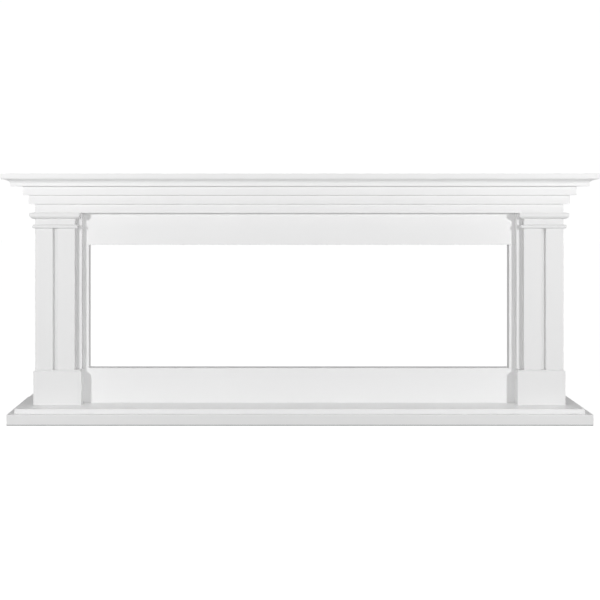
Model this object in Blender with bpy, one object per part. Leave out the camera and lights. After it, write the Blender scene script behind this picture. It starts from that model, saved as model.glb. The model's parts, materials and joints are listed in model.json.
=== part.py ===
"""White lacquered fireplace mantelpiece for a wide, low firebox.

A two-step hearth carries two pilasters and a panel of four boards round the firebox opening.
Three fascias, a cove and the shelf are stacked on the pilasters, and the back is open.
Metres. The front faces -Y, +Z is up and X runs across; the origin is on the floor, midway.
"""

import math

import bmesh
import bpy
from mathutils import Vector

# Joinery
GAP = 0.0003                    # left between two pieces that meet
ARRIS = 0.001                   # eased edge of a board
EASE_STEPS = 2
CURVE_STEPS = 10                # straight steps in a quarter turn of a moulding

# Firebox opening and the boards round it
OPENING_WIDTH = 1.530
OPENING_HEIGHT = 0.448
PANEL_THICKNESS = 0.052
HEADER_HEIGHT = 0.117           # header board that shows above the opening
BASE_HEIGHT = 0.127             # plinths, and the rail that is level with them
BODY_DEPTH = 0.290              # wall to panel face

# Pilasters
PANEL_MARGIN = 0.022            # panel that shows between opening and backing board
BACKING_THICKNESS = 0.030
BACKING_MARGIN = 0.022          # backing board that shows beside the shaft
SHAFT_WIDTH = 0.1425
SHAFT_THICKNESS = 0.030
CHANNEL_WIDTH = 0.016
CHANNEL_DEPTH = 0.013
PLINTH_STEP = 0.006             # plinth beyond shaft and side board, and its chamfer
PLINTH_INNER_STEP = 0.002       # plinth beyond the backing board
SIDE_THICKNESS = 0.018

# Capital and bead
CAPITAL_HEIGHT = 0.021
CAPITAL_BAND = 0.009            # flat band above the capital's round
CAPITAL_PROJECTION = 0.018
NECK_HEIGHT = 0.021
BEAD_HEIGHT = 0.0136
BEAD_PROJECTION = 0.010

# Cornice and shelf
FASCIA_HEIGHT = 0.032
FASCIA_STEP = 0.0195
FASCIA_NAMES = ("lower", "middle", "upper")
FILLET_HEIGHT = 0.009
FILLET_PROJECTION = 0.0375      # fillet beyond the upper fascia
COVE_HEIGHT = 0.018
COVE_PROJECTION = 0.031         # cove beyond the fillet
COVE_LIP = 0.002                # square lip on the cove's outer edge
SHELF_OVERHANG = 0.001
SHELF_THICKNESS = 0.018

# Hearth
LOWER_SLAB_THICKNESS = 0.038
UPPER_SLAB_THICKNESS = 0.017
SLAB_STEP = 0.024               # lower slab beyond upper slab
HEARTH_FRONT = 0.092            # upper slab in front of the plinths
HEARTH_SIDE = 0.052             # upper slab beside the plinths

# Paint: brightness and roughness of each satin white
PAINTS = {"hearth": (0.92, 0.42), "panel": (0.94, 0.48), "pilaster": (0.88, 0.48),
          "cornice": (0.94, 0.5), "shelf": (0.94, 0.5)}
SHARP_ANGLE = math.radians(30)  # edges that turn more than this are sharp

# Widths, each half a width, measured from the middle
OPENING_EDGE = OPENING_WIDTH / 2
BACKING_EDGE = OPENING_EDGE + PANEL_MARGIN
SHAFT_EDGE = BACKING_EDGE + BACKING_MARGIN
SIDE_FACE = SHAFT_EDGE + SHAFT_WIDTH
PILASTER_DEPTH = BACKING_THICKNESS + SHAFT_THICKNESS
CORNICE_INNER = SIDE_FACE - PILASTER_DEPTH
UPPER_SLAB_END = SIDE_FACE + PLINTH_STEP + HEARTH_SIDE
LOWER_SLAB_END = UPPER_SLAB_END + SLAB_STEP

# Depths. OUT is how far a face stands in front of the shafts.
CORNICE_OUT = FASCIA_STEP * (len(FASCIA_NAMES) - 1)
FILLET_OUT = CORNICE_OUT + FILLET_PROJECTION
COVE_OUT = FILLET_OUT + COVE_PROJECTION
SHELF_OUT = COVE_OUT + SHELF_OVERHANG
UPPER_SLAB_OUT = PLINTH_STEP + HEARTH_FRONT
LOWER_SLAB_OUT = UPPER_SLAB_OUT + SLAB_STEP
HEARTH_DEPTH = BODY_DEPTH + PILASTER_DEPTH + LOWER_SLAB_OUT
WALL = HEARTH_DEPTH / 2
PANEL_FACE = WALL - BODY_DEPTH
BACKING_FACE = PANEL_FACE - BACKING_THICKNESS
SHAFT_FACE = PANEL_FACE - PILASTER_DEPTH

# Levels
HEARTH_TOP = LOWER_SLAB_THICKNESS + UPPER_SLAB_THICKNESS
SILL = HEARTH_TOP + BASE_HEIGHT
LINTEL = SILL + OPENING_HEIGHT
CORNICE_FOOT = LINTEL + HEADER_HEIGHT
CAPITAL_FOOT = CORNICE_FOOT - CAPITAL_HEIGHT
BEAD_TOP = CAPITAL_FOOT - NECK_HEIGHT
COVE_FOOT = CORNICE_FOOT + FASCIA_HEIGHT * len(FASCIA_NAMES)
SHELF_FOOT = COVE_FOOT + FILLET_HEIGHT + COVE_HEIGHT

SIDES = (("left", -1), ("right", 1))


def paint(name, brightness, roughness):
    """A painted finish."""
    finish = bpy.data.materials.new(name)
    finish.use_nodes = True
    shader = finish.node_tree.nodes["Principled BSDF"]
    shader.inputs["Base Color"].default_value = (brightness, brightness, brightness, 1)
    shader.inputs["Roughness"].default_value = roughness
    shader.inputs["Metallic"].default_value = 0
    return finish


def piece(name, bm, finish, place=(0, 0, 0)):
    """An object made from a bmesh, at its place and in its finish."""
    mesh = bpy.data.meshes.new(name)
    bm.to_mesh(mesh)
    bm.free()
    mesh.materials.append(finish)
    obj = bpy.data.objects.new(name, mesh)
    obj.location = place
    bpy.context.collection.objects.link(obj)
    return obj


def ease_edges(obj):
    """Ease a piece's sharp edges with a small round."""
    bevel = obj.modifiers.new("eased edges", "BEVEL")
    bevel.width = ARRIS
    bevel.segments = EASE_STEPS
    bevel.limit_method = "ANGLE"
    bevel.angle_limit = SHARP_ANGLE


def block(x, y, z):
    """A rectangular bmesh about its own middle, and that middle; x, y, z are (low, high)."""
    low = Vector(pair[0] for pair in (x, y, z))
    high = Vector(pair[1] for pair in (x, y, z))
    bm = bmesh.new()
    bmesh.ops.create_cube(bm, size=1)
    bmesh.ops.scale(bm, vec=high - low, verts=bm.verts)
    return bm, (low + high) / 2


def board(name, x, y, z, finish):
    """A flat board with eased edges."""
    bm, middle = block(x, y, z)
    obj = piece(name, bm, finish, middle)
    ease_edges(obj)
    return obj


def side_span(side, inner, outer):
    """The X faces of a piece that lies between two distances from the middle."""
    return tuple(sorted((side * inner, side * outer)))


def moulding(name, profile, stations, finish):
    """Carry a profile of (out, level) points through stations, which place it in space."""
    bm = bmesh.new()
    rings = []
    for station in stations:
        corners = [bm.verts.new(station(out, level)) for out, level in profile]
        edges = [bm.edges.new(pair) for pair in zip(corners, corners[1:] + corners[:1])]
        rings.append((corners, edges))
    for (_, edges), (_, next_edges) in zip(rings, rings[1:]):
        bmesh.ops.bridge_loops(bm, edges=edges + next_edges)
    bm.faces.new(rings[0][0])
    bm.faces.new(rings[-1][0])
    bmesh.ops.recalc_face_normals(bm, faces=bm.faces)
    obj = piece(name, bm, finish)
    obj.data.shade_smooth()
    obj.data.set_sharp_from_angle(angle=SHARP_ANGLE)
    return obj


def quarter(centre, radii, start):
    """Points of a quarter ellipse, anticlockwise from the start angle in degrees."""
    turns = [math.radians(start + 90 * step / CURVE_STEPS) for step in range(CURVE_STEPS + 1)]
    return [(centre[0] + radii[0] * math.cos(t), centre[1] + radii[1] * math.sin(t))
            for t in turns]


def fascia_profile(out, foot):
    """A square strip from the panel face to its own face, with two eased corners."""
    top = foot + FASCIA_HEIGHT
    foot += GAP
    return [(-PILASTER_DEPTH, foot), (out - ARRIS, foot), (out, foot + ARRIS),
            (out, top - ARRIS), (out - ARRIS, top), (-PILASTER_DEPTH, top)]


def cove_profile():
    """A fillet with a hollow quarter above it that reaches out to a square lip."""
    foot = COVE_FOOT + GAP
    top = SHELF_FOOT
    hollow_foot = COVE_FOOT + FILLET_HEIGHT
    hollow = quarter((COVE_OUT, hollow_foot), (COVE_PROJECTION, COVE_HEIGHT - COVE_LIP), 90)
    return ([(-PILASTER_DEPTH, foot), (FILLET_OUT - ARRIS, foot), (FILLET_OUT, foot + ARRIS)]
            + hollow[::-1] + [(COVE_OUT, top), (-PILASTER_DEPTH, top)])


def capital_profile():
    """A flat band with a round under it, against the shaft."""
    top = CORNICE_FOOT
    band_foot = top - CAPITAL_BAND
    swell = quarter((GAP, band_foot), (CAPITAL_PROJECTION - GAP, CAPITAL_HEIGHT - CAPITAL_BAND), 270)
    return swell + [(CAPITAL_PROJECTION, top - ARRIS), (CAPITAL_PROJECTION - ARRIS, top), (GAP, top)]


def bead_profile():
    """A half round on a short flat, against the shaft."""
    radius = BEAD_HEIGHT / 2
    centre = (BEAD_PROJECTION - radius, BEAD_TOP - radius)
    lower = quarter(centre, (radius, radius), 270)
    upper = quarter(centre, (radius, radius), 0)
    return [(GAP, BEAD_TOP - BEAD_HEIGHT)] + lower + upper[1:] + [(GAP, BEAD_TOP)]


def plinth_return_profile():
    """The plinth's step and chamfer, against the side board."""
    foot = HEARTH_TOP + GAP
    return [(GAP, foot), (PLINTH_STEP, foot), (PLINTH_STEP, SILL - PLINTH_STEP), (GAP, SILL)]


def front_corner(side):
    """The station on the mitre where a cornice turns from front to side."""
    return lambda out, level: (side * (SIDE_FACE + out), SHAFT_FACE - out, level)


def return_corner(side):
    """The same mitre, from the return's side of the joint."""
    return lambda out, level: (side * (SIDE_FACE + out), SHAFT_FACE - out + 2 * GAP, level)


def side_end(side, depth):
    """A square end on the outer side, at a depth."""
    return lambda out, level: (side * (SIDE_FACE + out), depth, level)


def inner_corner(side):
    """The mitre on a shaft's inner corner."""
    return lambda out, level: (side * (SHAFT_EDGE - out), SHAFT_FACE - out, level)


def inner_end(side):
    """A square end on a shaft's inner side, against the backing board."""
    return lambda out, level: (side * (SHAFT_EDGE - out), BACKING_FACE - GAP, level)


def cornice_course(name, profile, finish):
    """One course of the cornice: a front length between two mitres, and a return each side."""
    moulding(f"{name}_front", profile, (front_corner(-1), front_corner(1)), finish)
    for word, side in SIDES:
        stations = (return_corner(side), side_end(side, WALL))
        moulding(f"{name}_{word}_return", profile, stations, finish)


def make_hearth(finish):
    """Two slabs, the upper one stepped back on three sides."""
    board("hearth_lower_slab", (-LOWER_SLAB_END, LOWER_SLAB_END),
          (SHAFT_FACE - LOWER_SLAB_OUT, WALL), (0, LOWER_SLAB_THICKNESS), finish)
    board("hearth_upper_slab", (-UPPER_SLAB_END, UPPER_SLAB_END),
          (SHAFT_FACE - UPPER_SLAB_OUT, WALL), (LOWER_SLAB_THICKNESS + GAP, HEARTH_TOP), finish)


def make_panel(finish):
    """Four boards round the opening. The header runs up behind the cornice."""
    depth = (PANEL_FACE, PANEL_FACE + PANEL_THICKNESS)
    across = (GAP - CORNICE_INNER, CORNICE_INNER - GAP)
    behind_cornice = (depth[0] + GAP, depth[1])
    board("header_board", across, behind_cornice, (LINTEL + GAP, SHELF_FOOT), finish)
    board("bottom_rail", across, depth, (HEARTH_TOP + GAP, SILL), finish)
    for word, side in SIDES:
        stile = side_span(side, OPENING_EDGE, CORNICE_INNER - GAP)
        board(f"{word}_stile", stile, depth, (SILL + GAP, LINTEL), finish)


def make_plinth(word, side, finish):
    """A block with a chamfer round its top, and its thin return along the side board."""
    span = side_span(side, BACKING_EDGE - PLINTH_INNER_STEP, SIDE_FACE + PLINTH_STEP)
    bm, middle = block(span, (SHAFT_FACE - PLINTH_STEP, PANEL_FACE - GAP), (HEARTH_TOP + GAP, SILL))
    top = max(v.co.z for v in bm.verts)
    back = max(v.co.y for v in bm.verts)
    rim = [e for e in bm.edges
           if all(abs(v.co.z - top) < GAP for v in e.verts)
           and not all(abs(v.co.y - back) < GAP for v in e.verts)]
    bmesh.ops.bevel(bm, geom=rim, offset=PLINTH_STEP, segments=1, profile=0.5, affect="EDGES")
    ease_edges(piece(f"{word}_plinth", bm, finish, middle))
    stations = (side_end(side, PANEL_FACE + GAP), side_end(side, WALL))
    moulding(f"{word}_plinth_return", plinth_return_profile(), stations, finish)


def make_shaft(word, side, finish):
    """A planted board with a channel down its middle, closed behind the bead."""
    span = side_span(side, SHAFT_EDGE, SIDE_FACE)
    foot = SILL + GAP
    shaft = board(f"{word}_shaft", span, (SHAFT_FACE, BACKING_FACE - GAP),
                  (foot, CORNICE_FOOT), finish)
    middle = (span[0] + span[1]) / 2
    channel_top = BEAD_TOP - BEAD_HEIGHT / 2
    bm, place = block((middle - CHANNEL_WIDTH / 2, middle + CHANNEL_WIDTH / 2),
                      (SHAFT_FACE - CHANNEL_DEPTH, SHAFT_FACE + CHANNEL_DEPTH),
                      (foot - CHANNEL_DEPTH, channel_top))
    cutter = piece(f"{word}_channel_cutter", bm, finish, place)
    cutter.hide_render = True
    cutter.display_type = "WIRE"
    cut = shaft.modifiers.new("channel", "BOOLEAN")
    cut.operation = "DIFFERENCE"
    cut.solver = "EXACT"
    cut.object = cutter
    shaft.modifiers.move(shaft.modifiers.find(cut.name), 0)


def make_pilaster(word, side, finish):
    """Plinth, side board, backing board, shaft, bead and capital of one pilaster."""
    make_plinth(word, side, finish)
    board(f"{word}_side_board", side_span(side, SIDE_FACE - SIDE_THICKNESS, SIDE_FACE),
          (PANEL_FACE + GAP, WALL), (HEARTH_TOP + GAP, CORNICE_FOOT), finish)
    board(f"{word}_backing_board", side_span(side, BACKING_EDGE, SIDE_FACE),
          (BACKING_FACE, PANEL_FACE - GAP), (SILL + GAP, CORNICE_FOOT), finish)
    make_shaft(word, side, finish)
    stations = (inner_end(side), inner_corner(side), front_corner(side), side_end(side, WALL))
    moulding(f"{word}_bead", bead_profile(), stations, finish)
    moulding(f"{word}_capital", capital_profile(), stations, finish)


def make_cornice(finish):
    """Three fascias, each a step further out, and the cove above them."""
    for course, name in enumerate(FASCIA_NAMES):
        foot = CORNICE_FOOT + course * FASCIA_HEIGHT
        cornice_course(f"{name}_fascia", fascia_profile(course * FASCIA_STEP, foot), finish)
    cornice_course("cove", cove_profile(), finish)


def make_shelf(finish):
    """The mantel shelf, on the cove."""
    end = SIDE_FACE + SHELF_OUT
    board("mantel_shelf", (-end, end), (SHAFT_FACE - SHELF_OUT, WALL),
          (SHELF_FOOT + GAP, SHELF_FOOT + SHELF_THICKNESS), finish)


def main():
    for obj in list(bpy.data.objects):
        bpy.data.objects.remove(obj, do_unlink=True)
    paints = {part: paint(f"{part}_paint", *look) for part, look in PAINTS.items()}
    make_hearth(paints["hearth"])
    make_panel(paints["panel"])
    for word, side in SIDES:
        make_pilaster(word, side, paints["pilaster"])
    make_cornice(paints["cornice"])
    make_shelf(paints["shelf"])


main()
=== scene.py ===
# %% [markdown]
# # A white lacquered fireplace mantelpiece
#
# The real object is a surround of painted board for a long, low firebox. A two-step hearth
# carries two pilasters, a plain panel closes round the opening, and a stepped cornice lifts the
# shelf. The CAD model already says where every board is and how large it is.
#
# This script dresses that model. It could repaint the CAD solids and stop there. It makes each
# board and moulding again instead, because a lacquered edge is read by its small round, and a
# round needs more steps and cleaner shading than a solid for collisions has.

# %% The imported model
import json
import math
from functools import partial

import bmesh
import bpy
from mathutils import Matrix, Vector


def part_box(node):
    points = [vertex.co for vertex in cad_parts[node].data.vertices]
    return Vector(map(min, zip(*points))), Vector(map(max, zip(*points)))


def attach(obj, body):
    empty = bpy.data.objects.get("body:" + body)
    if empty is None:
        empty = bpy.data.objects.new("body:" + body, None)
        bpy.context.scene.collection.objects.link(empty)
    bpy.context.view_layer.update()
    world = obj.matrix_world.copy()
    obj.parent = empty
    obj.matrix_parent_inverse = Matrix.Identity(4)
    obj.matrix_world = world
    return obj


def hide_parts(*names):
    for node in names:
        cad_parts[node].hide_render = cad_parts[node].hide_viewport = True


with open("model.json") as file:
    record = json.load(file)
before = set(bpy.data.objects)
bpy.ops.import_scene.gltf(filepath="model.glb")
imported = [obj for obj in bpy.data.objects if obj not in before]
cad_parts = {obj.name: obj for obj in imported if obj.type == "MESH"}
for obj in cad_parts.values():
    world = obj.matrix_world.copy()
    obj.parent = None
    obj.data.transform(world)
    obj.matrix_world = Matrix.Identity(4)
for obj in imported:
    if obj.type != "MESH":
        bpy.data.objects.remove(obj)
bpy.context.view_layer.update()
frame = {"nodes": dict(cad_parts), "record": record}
print("CAD nodes:", len(frame["nodes"]))

# %% [markdown]
# ## The camera
#
# The photo is a level, almost straight front view. The long edges of the two hearth slabs run to
# one point of the picture, which is the point the camera looks straight at. It isn't the middle
# of the picture, so the picture was cropped or shifted. A level camera with a small lens shift
# repeats that exactly. A tilted camera would make the uprights lean, and they don't.

# %% The camera
PHOTO_SIZE = 600                        # pixels on a side
VANISHING_POINT = (272.0, 192.2)        # pixel that the camera looks straight at
FOCAL_PIXELS = 1510.4                   # focal length, in pixels of the photo
EYE = Vector((-0.0985, -5.554, 0.822))
SENSOR = 36.0                           # millimetres

lens = bpy.data.cameras.new("camera")
lens.sensor_width = SENSOR
lens.lens = FOCAL_PIXELS / PHOTO_SIZE * SENSOR
lens.shift_x = 0.5 - VANISHING_POINT[0] / PHOTO_SIZE
lens.shift_y = VANISHING_POINT[1] / PHOTO_SIZE - 0.5
camera = bpy.data.objects.new("camera", lens)
camera.location = EYE
camera.rotation_euler = (math.radians(90), 0, 0)
bpy.context.scene.collection.objects.link(camera)
bpy.context.scene.camera = camera
print("lens", round(lens.lens, 2), "mm, shift", round(lens.shift_x, 4), round(lens.shift_y, 4))

# %% [markdown]
# ## Shader sums in plain Python
#
# A finish is worked out from a few noises, and those sums are easier to read as Python than as
# nodes. So one small class wraps a socket, and adding or multiplying two of them adds the Math
# node that does it. Every other node comes from one method, which sets the node's own choices
# first, because they decide which sockets it has.

# %% Helpers for node trees
class Wire:
    """An output socket of a node, which Python can add and multiply."""

    def __init__(self, builder, socket):
        self.builder = builder
        self.socket = socket

    def math(self, operation, other):
        """The Math node for this value and another."""
        return self.builder.node("ShaderNodeMath", {"operation": operation}, {0: self, 1: other})

    def __add__(self, other):
        return self.math("ADD", other)

    def __mul__(self, other):
        return self.math("MULTIPLY", other)

    __radd__ = __add__
    __rmul__ = __mul__


class Nodes:
    """Builds a node tree, node by node."""

    def __init__(self, tree):
        self.tree = tree

    def node(self, kind, settings, inputs, output=0):
        """A new node: its type, its own settings, and values or wires for its sockets."""
        made = self.tree.nodes.new(kind)
        for key, value in settings.items():
            setattr(made, key, value)
        for key, value in inputs.items():
            self.feed(made.inputs[key], value)
        return Wire(self, made.outputs[output])

    def feed(self, socket, value):
        """Link a wire to a socket, or set the socket's own value; colours are red, green, blue."""
        if isinstance(value, Wire):
            self.tree.links.new(value.socket, socket)
        elif socket.type == "RGBA":
            socket.default_value = (*value, 1)
        else:
            socket.default_value = value

    def finish(self, **values):
        """Feed the Principled shader's sockets, named in small letters."""
        shader = self.tree.nodes["Principled BSDF"]
        for key, value in values.items():
            self.feed(shader.inputs[key.replace("_", " ").title()], value)

    def noise(self, scale, detail):
        """Noise on object coordinates; scale is in features per metre."""
        place = self.node("ShaderNodeTexCoord", {}, {}, "Object")
        return self.node("ShaderNodeTexNoise", {}, {"Vector": place, "Scale": scale, "Detail": detail})

    def part(self, coordinate, axis):
        """X, Y or Z of a coordinate: "Object" is a place and "Normal" the way the surface faces."""
        whole = self.node("ShaderNodeTexCoord", {}, {}, coordinate)
        return self.node("ShaderNodeSeparateXYZ", {}, {"Vector": whole}, axis)

    def fade(self, value, start, end):
        """A soft step: 0 where the value is at start, 1 where it is at end."""
        return self.node("ShaderNodeMapRange", {"interpolation_type": "SMOOTHSTEP"},
                         {"Value": value, "From Min": start, "From Max": end})

    def mix(self, amount, low, high):
        """A colour between two colours."""
        return self.node("ShaderNodeMix", {"data_type": "RGBA"},
                         {"Factor": amount, "A": low, "B": high}, "Result")


def new_material(name):
    """A material, and the builder of its nodes."""
    material = bpy.data.materials.new(name)
    material.use_nodes = True
    return material, Nodes(material.node_tree)

# %% [markdown]
# ## Satin white lacquer
#
# On the real object each board is primed, sanded and sprayed with a satin white. Up close the
# spray leaves a very fine orange peel, and the sheen is not perfectly even from place to place.
# A flat white would look like plastic. Two noises are enough: a slow one for the coat's
# thickness, which moves the colour and the sheen a little, and a fast one for the peel, which
# goes through a Bump node. The back is out of sight and only primed, so there the same finish
# turns a little greyer and duller, by which way the surface faces. Near the floor the colour carries
# painted shade: the lacquer in the lowest few centimetres is painted a little darker, and its last
# millimetres at the floor are painted near black, a painted contact shadow that makes a thin dark
# line there. The height of a point, from Object coordinates, finds both.

# %% The lacquer
COAT_SCALE = 7                          # slow changes of the coat, per metre
THIN_COAT = 0.985                       # brightness where the coat is thinnest, against full
SHEEN_RANGE = 0.08                      # how much the roughness wanders
PEEL_SCALE = 420                        # bumps of the orange peel, per metre
PEEL_HEIGHT = 0.00002                   # metres
PEEL_STRENGTH = 0.6
PRIMER = (0.74, 0.74, 0.73)
PRIMER_ROUGHER = 0.25                   # added roughness of bare primer
PRIMER_PEEL = 2                         # added height of its bumps, against the lacquer's
BACK_FROM = 0.6                         # how far a face turns back before the lacquer thins
BACK_FULL = 0.8                         # and where only primer is left
# Colour of the painted shade near the floor: a painted contact shadow at the foot, and a darker band
# low down.
SHADE_COLOUR = (0.05, 0.05, 0.05)
FOOT_SHADOW_FULL = 0.0018                      # the height up to which the foot is painted with the full contact shadow
FOOT_SHADOW_END = 0.0028                       # and where that ends
LOW_SHADE_FULL = 0.03                      # the height up to which the lacquer is painted darker, as painted shade
LOW_SHADE_END = 0.045                      # and where that ends
LOW_SHADE_SHARE = 0.07                           # share of the painted shade there


def lacquer(name, white, roughness):
    """Sprayed satin lacquer over a primer that stays bare on the back, with painted shade near the
    floor.
    """
    material, paint = new_material(name)
    coat = paint.noise(COAT_SCALE, 2)
    peel = paint.noise(PEEL_SCALE, 1)
    bare = paint.fade(paint.part("Normal", "Y"), BACK_FROM, BACK_FULL)
    level = paint.part("Object", "Z")
    # Painted shade by height: a painted contact shadow at the foot, and a painted darker band above
    # it.
    foot = paint.fade(level, FOOT_SHADOW_END, FOOT_SHADOW_FULL)
    low_shade_mask = paint.fade(level, LOW_SHADE_END, LOW_SHADE_FULL)
    painted_shade_mask = low_shade_mask * LOW_SHADE_SHARE + foot * (1 - LOW_SHADE_SHARE)
    sprayed = paint.mix(coat, [THIN_COAT * white] * 3, [white] * 3)
    sheen = coat * SHEEN_RANGE + (roughness - SHEEN_RANGE / 2)
    bumps = peel * (bare * PRIMER_PEEL + 1)
    bumped = paint.node("ShaderNodeBump", {},
                        {"Strength": PEEL_STRENGTH, "Distance": PEEL_HEIGHT, "Height": bumps})
    paint.finish(base_color=paint.mix(painted_shade_mask, paint.mix(bare, sprayed, PRIMER), SHADE_COLOUR),
                 roughness=sheen + bare * PRIMER_ROUGHER, normal=bumped)
    return material


finishes = {
    "hearth_paint": lacquer("hearth_lacquer", 0.93, 0.42),
    "panel_paint": lacquer("panel_lacquer", 0.945, 0.48),
    "pilaster_paint": lacquer("pilaster_lacquer", 0.885, 0.48),
    "cornice_paint": lacquer("cornice_lacquer", 0.945, 0.5),
    "shelf_paint": lacquer("shelf_lacquer", 0.945, 0.5),
}
print("finishes:", ", ".join(finishes))

# %% [markdown]
# ## A finished piece
#
# Every board and moulding ends the same way: its mesh becomes an object at the origin, it rides
# on the one body, it stands for its CAD node, and it takes that node's slot. The record already
# pairs nodes with slots, so the pairing is read from there and not written twice. The faces are
# smooth up to the sharp edges, and a Weighted Normal modifier lets the wide faces decide, so that
# they stay flat while the small rounds between them catch the light.

# %% Helpers for pieces
SHARP_ANGLE = math.radians(30)          # edges that turn more than this are sharp
slots = {row["node"]: row["material_slot"] for row in frame["record"]["subparts"]}


def dress(node, bm):
    """Turn a bmesh into the piece that stands for a CAD node, in that node's finish."""
    bmesh.ops.recalc_face_normals(bm, faces=bm.faces)
    open_edges = sum(1 for edge in bm.edges if not edge.is_manifold)
    mesh = bpy.data.meshes.new(f"{node}_lacquered")
    bm.to_mesh(mesh)
    bm.free()
    mesh.shade_smooth()
    mesh.set_sharp_from_angle(angle=SHARP_ANGLE)
    mesh.materials.append(finishes[slots[node]])
    obj = bpy.data.objects.new(mesh.name, mesh)
    bpy.context.scene.collection.objects.link(obj)
    obj.modifiers.new("even shading", "WEIGHTED_NORMAL").keep_sharp = True
    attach(obj, "root")
    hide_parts(node)
    size = [round(side * 1000, 1) for side in obj.dimensions]
    print(obj.name, size, "mm,", len(mesh.polygons), "faces,", open_edges, "open edges")

# %% [markdown]
# ## Plain boards
#
# The slabs, the panel, the side and backing boards and the shelf are sawn board. Before painting
# the joiner sands the free edges, but not an edge that stands on another board, because that
# joint would show as a dark line. A cube pulled to the CAD node's box gives the board, and the
# bevel operator sands it. A Bevel modifier would sand every edge alike. Only the bottom slab, the
# header and the shelf have free lower edges.

# %% Plain boards
ARRIS = 0.001                           # radius of a sanded edge
EASE_STEPS = 4                          # steps in a sanded edge
GAP = 0.0003                            # left between two pieces that meet
STANDING_BOARDS = [
    "hearth_upper_slab", "bottom_rail", "left_stile", "right_stile", "left_side_board",
    "right_side_board", "left_backing_board", "right_backing_board",
]


def block(low, high):
    """A rectangular bmesh between two corners."""
    bm = bmesh.new()
    bmesh.ops.create_cube(bm, size=1)
    bmesh.ops.scale(bm, vec=high - low, verts=bm.verts)
    bmesh.ops.translate(bm, vec=(low + high) / 2, verts=bm.verts)
    return bm


def foot_edges(bm):
    """The edges that lie at the lowest level."""
    foot = min(vert.co.z for vert in bm.verts)
    return [edge for edge in bm.edges if all(vert.co.z < foot + GAP for vert in edge.verts)]


def sand(bm, spare=()):
    """Round the sharp edges, apart from those to spare."""
    bm.normal_update()
    sharp = [edge for edge in bm.edges if edge.calc_face_angle() > SHARP_ANGLE]
    bmesh.ops.bevel(bm, geom=[edge for edge in sharp if edge not in spare], offset=ARRIS,
                    segments=EASE_STEPS, profile=0.5, affect="EDGES", material=-1)
    return bm


for node in STANDING_BOARDS:
    bm = block(*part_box(node))
    dress(node, sand(bm, spare=foot_edges(bm)))
for node in ("hearth_lower_slab", "header_board", "mantel_shelf"):
    dress(node, sand(block(*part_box(node))))

# %% [markdown]
# ## Levels and faces
#
# The mouldings follow the same few faces: the front and the outer side of the shafts, the wall,
# and the levels of the courses. They are read from the frame once, so that a moulding always
# meets the board that carries it.

# %% Levels and faces
shaft_low, shaft_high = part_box("right_shaft")
SHAFT_FACE = shaft_low.y
SHAFT_EDGE = shaft_low.x
SIDE_FACE = shaft_high.x
CORNICE_FOOT = shaft_high.z
BACKING_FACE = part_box("right_backing_board")[0].y
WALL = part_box("mantel_shelf")[1].y
PANEL_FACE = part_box("bottom_rail")[0].y
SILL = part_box("bottom_rail")[1].z
SIDES = (("left", -1), ("right", 1))
print("shaft face", round(SHAFT_FACE, 4), "side face", round(SIDE_FACE, 4), "wall", round(WALL, 4))

# %% [markdown]
# ## How a moulding is made
#
# A joiner runs a length of moulding with one cutter, so its section is the same all along, and
# then saws mitres where it turns. The script does the same. The section is drawn flat as a chain
# of edges, with straights and with turns made by the spin operator, and closed to one face. The
# face is then extruded from station to station. Each station is a matrix that says where the
# section lies there and which way is out, and at a mitre that direction is the diagonal, which
# stretches the section just as a mitre saw does.

# %% Helpers for mouldings
ROUND_STEPS = 24                        # steps in a quarter turn of a moulding


class Section:
    """A moulding's section, drawn point by point as (out, level)."""

    def __init__(self, out, level):
        self.bm = bmesh.new()
        self.end = self.bm.verts.new((out, 0, level))

    def to(self, out, level):
        """A straight to a point."""
        self.end = bmesh.ops.extrude_vert_indiv(self.bm, verts=[self.end])["verts"][0]
        self.end.co = (out, 0, level)
        return self

    def turn(self, out, level, degrees, steps=ROUND_STEPS, stretch=(1, 1)):
        """A round about a centre, anticlockwise when positive, stretched out or up from it."""
        drawn = set(self.bm.verts)
        spun = bmesh.ops.spin(self.bm, geom=[self.end], cent=(out, 0, level), axis=(0, -1, 0),
                              angle=math.radians(degrees), steps=steps, use_duplicate=False)
        self.end = spun["geom_last"][0]
        new = [vert for vert in self.bm.verts if vert not in drawn]
        bmesh.ops.scale(self.bm, vec=(stretch[0], 1, stretch[1]), verts=new,
                        space=Matrix.Translation((-out, 0, -level)))
        return self

    def carry(self, stations):
        """Close the section and extrude it through the stations; only the end faces stay."""
        self.bm.verts.ensure_lookup_table()
        self.bm.edges.new((self.end, self.bm.verts[0]))
        face = bmesh.ops.contextual_create(self.bm, geom=self.bm.edges[:])["faces"][0]
        bmesh.ops.transform(self.bm, matrix=stations[0], verts=self.bm.verts)
        for here, there in zip(stations, stations[1:]):
            grown = bmesh.ops.extrude_face_region(self.bm, geom=[face])["geom"]
            if here is not stations[0]:
                bmesh.ops.delete(self.bm, geom=[face], context="FACES_ONLY")
            moved = [part for part in grown if isinstance(part, bmesh.types.BMVert)]
            face = next(part for part in grown if isinstance(part, bmesh.types.BMFace))
            bmesh.ops.transform(self.bm, matrix=there @ here.inverted(), verts=moved)
        return self.bm


def station(x, y, out_x, out_y):
    """The matrix that lays a section at a point of the plan, with its own out along a direction."""
    place = Matrix.Identity(4)
    place.col[0] = (out_x, out_y, 0, 0)
    place.col[1] = (-out_y, out_x, 0, 0)
    place.col[3] = (x, y, 0, 1)
    return place

# %% [markdown]
# ## The cornice
#
# Three square strips are stacked, each a step further out, and a cove carries the shelf. Every
# course is three mitred lengths: one across the front and a return along each side. A box for
# each strip would be quicker, but the corners would butt and not mitre, and the hairline across
# the corner is what tells you that this is joinery.

# %% The cornice
COVE_LIP = 0.002                        # square lip on the cove's outer edge
FASCIA_BACK = SHAFT_FACE - PANEL_FACE   # negative: the panel's face lies behind the shaft's
FILLET_HEIGHT = 0.009
FILLET_PROJECTION = 0.0375              # fillet beyond the upper fascia


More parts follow.
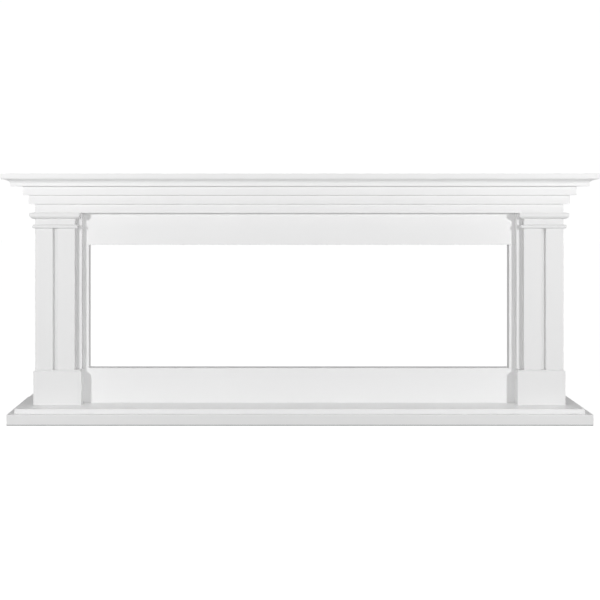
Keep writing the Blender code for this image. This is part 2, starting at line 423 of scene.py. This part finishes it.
def front_corner(side, joint=0.0):
    """The mitre where the front turns to a side; joint moves it back for the return's face."""
    return station(side * SIDE_FACE, SHAFT_FACE + joint, side, -1)


def course(name, section):
    """The three mitred lengths of one course."""
    dress(f"{name}_front", section().carry([front_corner(-1), front_corner(1)]))
    for word, side in SIDES:
        ends = [front_corner(side, 2 * GAP), station(side * SIDE_FACE, WALL, side, 0)]
        dress(f"{name}_{word}_return", section().carry(ends))


def fascia_section(name):
    """A square strip with sanded front corners; the lowest one stands on a sharp corner."""
    low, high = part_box(f"{name}_fascia_front")
    out = SHAFT_FACE - low.y
    section = Section(FASCIA_BACK, low.z)
    if name == "lower":
        section.to(out, low.z)
    else:
        section.to(out - ARRIS, low.z).turn(out - ARRIS, low.z + ARRIS, 90, EASE_STEPS)
    section.to(out, high.z - ARRIS)
    section.turn(out - ARRIS, high.z - ARRIS, 90, EASE_STEPS)
    return section.to(FASCIA_BACK, high.z)


def cove_section():
    """A fillet, then a hollow that reaches out to a square lip."""
    low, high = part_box("cove_front")
    fillet = SHAFT_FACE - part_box("upper_fascia_front")[0].y + FILLET_PROJECTION
    reach = SHAFT_FACE - low.y
    hollow_foot = low.z - GAP + FILLET_HEIGHT
    hollow_height = high.z - COVE_LIP - hollow_foot
    section = Section(FASCIA_BACK, low.z).to(fillet - ARRIS, low.z)
    section.turn(fillet - ARRIS, low.z + ARRIS, 90, EASE_STEPS)
    section.to(fillet, hollow_foot)
    section.turn(reach, hollow_foot, -90, stretch=(1, hollow_height / (reach - fillet)))
    return section.to(reach, high.z).to(FASCIA_BACK, high.z)


for name in ("lower", "middle", "upper"):
    course(f"{name}_fascia", partial(fascia_section, name))
course("cove", cove_section)

# %% [markdown]
# ## The plinths
#
# Each pilaster stands on a block that is a little wider than the shaft and has a chamfer round
# its top on the three sides that show. The step carries on along the side as a thin return. The
# block is a cube whose top rim is bevelled by one flat step before the edges are sanded.

# %% The plinths
PLINTH_STEP = 0.006                     # how far the plinth stands out, and its chamfer

for word, side in SIDES:
    low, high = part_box(f"{word}_plinth")
    bm = block(low, high)
    rim = [edge for edge in bm.edges
           if all(abs(vert.co.z - high.z) < GAP for vert in edge.verts)
           and not all(abs(vert.co.y - high.y) < GAP for vert in edge.verts)]
    bmesh.ops.bevel(bm, geom=rim, offset=PLINTH_STEP, segments=1, profile=0.5, affect="EDGES",
                    material=-1)
    dress(f"{word}_plinth", sand(bm, spare=foot_edges(bm)))
    foot = low.z
    section = Section(GAP, foot).to(PLINTH_STEP, foot).to(PLINTH_STEP, SILL - PLINTH_STEP)
    ends = [station(side * SIDE_FACE, depth, side, 0) for depth in (PANEL_FACE + GAP, WALL)]
    dress(f"{word}_plinth_return", section.to(GAP, SILL).carry(ends))

# %% [markdown]
# ## The shafts
#
# A shaft is one planted board with a single channel routed up its middle. The channel runs out
# at the foot and stops behind the bead. A Boolean could cut it, but it leaves a cutter behind.
# Here the board's plan, with the notch in it, is extruded up to where the router stopped. The
# notch is then closed by a face, which is the channel's end, and both faces are extruded on to
# the top. The face that stays behind inside the board is deleted.

# %% The shafts
CHANNEL_WIDTH = 0.016
CHANNEL_DEPTH = 0.013


def shaft(node, channel_top):
    """A board with a channel that is open at the foot and closed at the top."""
    low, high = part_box(node)
    middle = (low.x + high.x) / 2
    near = middle - CHANNEL_WIDTH / 2
    far = middle + CHANNEL_WIDTH / 2
    floor = low.y + CHANNEL_DEPTH
    plan = [(low.x, low.y), (near, low.y), (near, floor), (far, floor), (far, low.y),
            (high.x, low.y), (high.x, high.y), (low.x, high.y)]
    bm = bmesh.new()
    corners = [bm.verts.new((x, y, low.z)) for x, y in plan]
    outline = [bm.edges.new(pair) for pair in zip(corners, corners[1:] + corners[:1])]
    notched = bmesh.ops.contextual_create(bm, geom=outline)["faces"]
    rise(bm, notched, channel_top - low.z)
    top = [face for face in bm.faces if all(abs(v.co.z - channel_top) < GAP for v in face.verts)]
    mouth = [v for v in top[0].verts if near - GAP < v.co.x < far + GAP and v.co.y < floor + GAP]
    lid = bmesh.ops.contextual_create(bm, geom=mouth)["faces"]
    rise(bm, top + lid, high.z - channel_top)
    bmesh.ops.delete(bm, geom=top, context="FACES_ONLY")
    crown = [face for face in bm.faces if all(abs(v.co.z - high.z) < GAP for v in face.verts)]
    bmesh.ops.dissolve_faces(bm, faces=crown)
    dress(node, sand(bm, spare=foot_edges(bm)))


def rise(bm, faces, height):
    """Extrude faces straight up."""
    grown = bmesh.ops.extrude_face_region(bm, geom=faces)["geom"]
    moved = [part for part in grown if isinstance(part, bmesh.types.BMVert)]
    bmesh.ops.translate(bm, vec=(0, 0, height), verts=moved)


for word, side in SIDES:
    bead_low, bead_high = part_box(f"{word}_bead")
    shaft(f"{word}_shaft", (bead_low.z + bead_high.z) / 2)

# %% [markdown]
# ## Beads and capitals
#
# A half-round bead and a capital run round the top of each shaft, from the backing board across
# the front and back to the wall. Each is one piece with two mitres. The capital's section is a
# flat band over a swelling quarter, wider than it is high, so its round is a circle stretched
# sideways.

# %% Beads and capitals
BEAD_PROJECTION = 0.010                 # out of the shaft's face
CAPITAL_PROJECTION = 0.018
CAPITAL_BAND = 0.009                    # flat band above the capital's round


def round_the_shaft(side):
    """The stations from the backing board, round the shaft's front, to the wall."""
    return [station(side * SHAFT_EDGE, BACKING_FACE - GAP, -side, 0),
            station(side * SHAFT_EDGE, SHAFT_FACE, -side, -1),
            front_corner(side),
            station(side * SIDE_FACE, WALL, side, 0)]


def bead_section(low, high):
    """A half round on a short flat."""
    radius = (high.z - low.z) / 2
    centre = BEAD_PROJECTION - radius
    section = Section(GAP, low.z).to(centre, low.z)
    section.turn(centre, low.z + radius, 180, 2 * ROUND_STEPS)
    return section.to(GAP, high.z)


def capital_section(low, high):
    """A swelling quarter under a flat band, whose top edge is sharp against the cornice."""
    band_foot = high.z - CAPITAL_BAND
    reach = CAPITAL_PROJECTION - GAP
    section = Section(GAP, low.z)
    section.turn(GAP, band_foot, 90, stretch=(reach / (band_foot - low.z), 1))
    return section.to(CAPITAL_PROJECTION, high.z).to(GAP, high.z)


for word, side in SIDES:
    for part, section in (("bead", bead_section), ("capital", capital_section)):
        node = f"{word}_{part}"
        dress(node, section(*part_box(node)).carry(round_the_shaft(side)))

# %% [markdown]
# ## The lamps
#
# In the photo a narrow, crisp shadow falls towards the middle from every edge of both pilasters,
# and the light fades a little from the shelf down to the hearth. So there is one small lamp at
# each side, close by and a little above the shelf. Sun lamps would light the whole height evenly,
# and one large soft box would lose the narrow shadows. The two only graze the shelf's top, which
# the photo doesn't show. From above it would look grey, so a spot right over it whitens it, in a
# cone that is narrow enough to leave the front alone.

# %% The lamps
LAMP_TURN = 23                          # degrees that the shadows lean in plan
LAMP_REACH = 2.5                        # metres in front of the panel
LAMP_HEIGHT = 0.97                      # metres above the floor
LAMP_SIZE = 0.15                        # metres across
LAMP_POWER = 27.5                       # watts
SPOT_PLACE = (0, 0.3, 3.6)
SPOT_CONE = 46                          # degrees
SPOT_BLEND = 0.3                        # share of the cone in which the light fades
SPOT_RADIUS = 0.3                       # metres, which softens its shadow
SPOT_POWER = 75                         # watts


def lamp(name, kind, power, place):
    """A lamp that shines straight down, for the caller to shape and turn."""
    light = bpy.data.lights.new(name, kind)
    light.energy = power
    made = bpy.data.objects.new(name, light)
    made.location = place
    bpy.context.scene.collection.objects.link(made)
    print(name, "at", [round(value, 2) for value in place])
    return made


for word, side in SIDES:
    across = SHAFT_EDGE + math.tan(math.radians(LAMP_TURN)) * LAMP_REACH
    place = Vector((side * across, PANEL_FACE - LAMP_REACH, LAMP_HEIGHT))
    target = Vector((side * SHAFT_EDGE / 2, 0, CORNICE_FOOT / 2))
    disk = lamp(f"{word}_lamp", "AREA", LAMP_POWER, place)
    disk.data.shape = "DISK"
    disk.data.size = LAMP_SIZE
    disk.rotation_mode = "QUATERNION"
    disk.rotation_quaternion = (target - place).to_track_quat("-Z", "Y")

spot = lamp("shelf_spot", "SPOT", SPOT_POWER, SPOT_PLACE).data
spot.spot_size = math.radians(SPOT_CONE)
spot.spot_blend = SPOT_BLEND
spot.shadow_soft_size = SPOT_RADIUS

# %% [markdown]
# ## The surround
#
# A pale room fills the shadows. It is brighter overhead than at eye level, which lights the
# hearth that the lamps only graze, and leaves the upright shadows dark. Behind the object the
# photo is pure white, and a room as bright as that would flood the object, so a Light Path node
# shows the view a brighter room than the one that lights. The Standard view keeps white at white.

# %% The surround
SURROUND_LOW = 0.2                      # brightness at eye level
SURROUND_HIGH = 0.55                    # brightness overhead
SURROUND_SEEN = 1.02                    # brightness that the view shows

world = bpy.data.worlds.new("surround")
world.use_nodes = True
sky = Nodes(world.node_tree)
background = sky.tree.nodes["Background"]
seen = sky.node("ShaderNodeLightPath", {}, {}, "Is Camera Ray")
upward = sky.part("Generated", "Z")
lit = sky.node("ShaderNodeMapRange", {},
               {"Value": upward, "To Min": SURROUND_LOW, "To Max": SURROUND_HIGH})
shown = sky.node("ShaderNodeMix", {"data_type": "FLOAT"},
                 {"Factor": seen, "A": lit, "B": SURROUND_SEEN})
sky.feed(background.inputs["Color"], (1, 1, 1))
sky.feed(background.inputs["Strength"], shown)
bpy.context.scene.world = world
bpy.context.scene.view_settings.view_transform = "Standard"
print("surround", SURROUND_LOW, "to", SURROUND_HIGH, "seen as", SURROUND_SEEN)

# %% [markdown]
# ## The floor
#
# The floor is a plain pale sheet. It lights the undersides from below, as the real floor does,
# and the view shows it mixed with a glow, so that it runs into the white behind and keeps only a
# trace of the shadow that shows where the hearth stands.

# %% The floor
FLOOR_SIZE = 40                         # metres on a side
FLOOR_PAINT = (0.6, 0.6, 0.6)
FLOOR_ROUGHNESS = 0.8
FLOOR_GLOW = 1.5                        # brightness of the glow
FLOOR_SHARE = 0.6                       # share of the glow in what the view shows

bm = bmesh.new()
bmesh.ops.create_grid(bm, x_segments=1, y_segments=1, size=FLOOR_SIZE / 2)
floor_mesh = bpy.data.meshes.new("studio_floor")
bm.to_mesh(floor_mesh)
bm.free()
floor = bpy.data.objects.new("studio_floor", floor_mesh)
bpy.context.scene.collection.objects.link(floor)
material, pale = new_material("pale_floor")
pale.finish(base_color=FLOOR_PAINT, roughness=FLOOR_ROUGHNESS)
glow = pale.node("ShaderNodeEmission", {}, {"Color": (1, 1, 1), "Strength": FLOOR_GLOW})
seen = pale.node("ShaderNodeLightPath", {}, {}, "Is Camera Ray")
painted = Wire(pale, pale.tree.nodes["Principled BSDF"].outputs["BSDF"])
shown = pale.node("ShaderNodeMixShader", {}, {0: seen * FLOOR_SHARE, 1: painted, 2: glow})
pale.feed(pale.tree.nodes["Material Output"].inputs["Surface"], shown)
floor_mesh.materials.append(material)
print("floor", FLOOR_SIZE, "m wide")
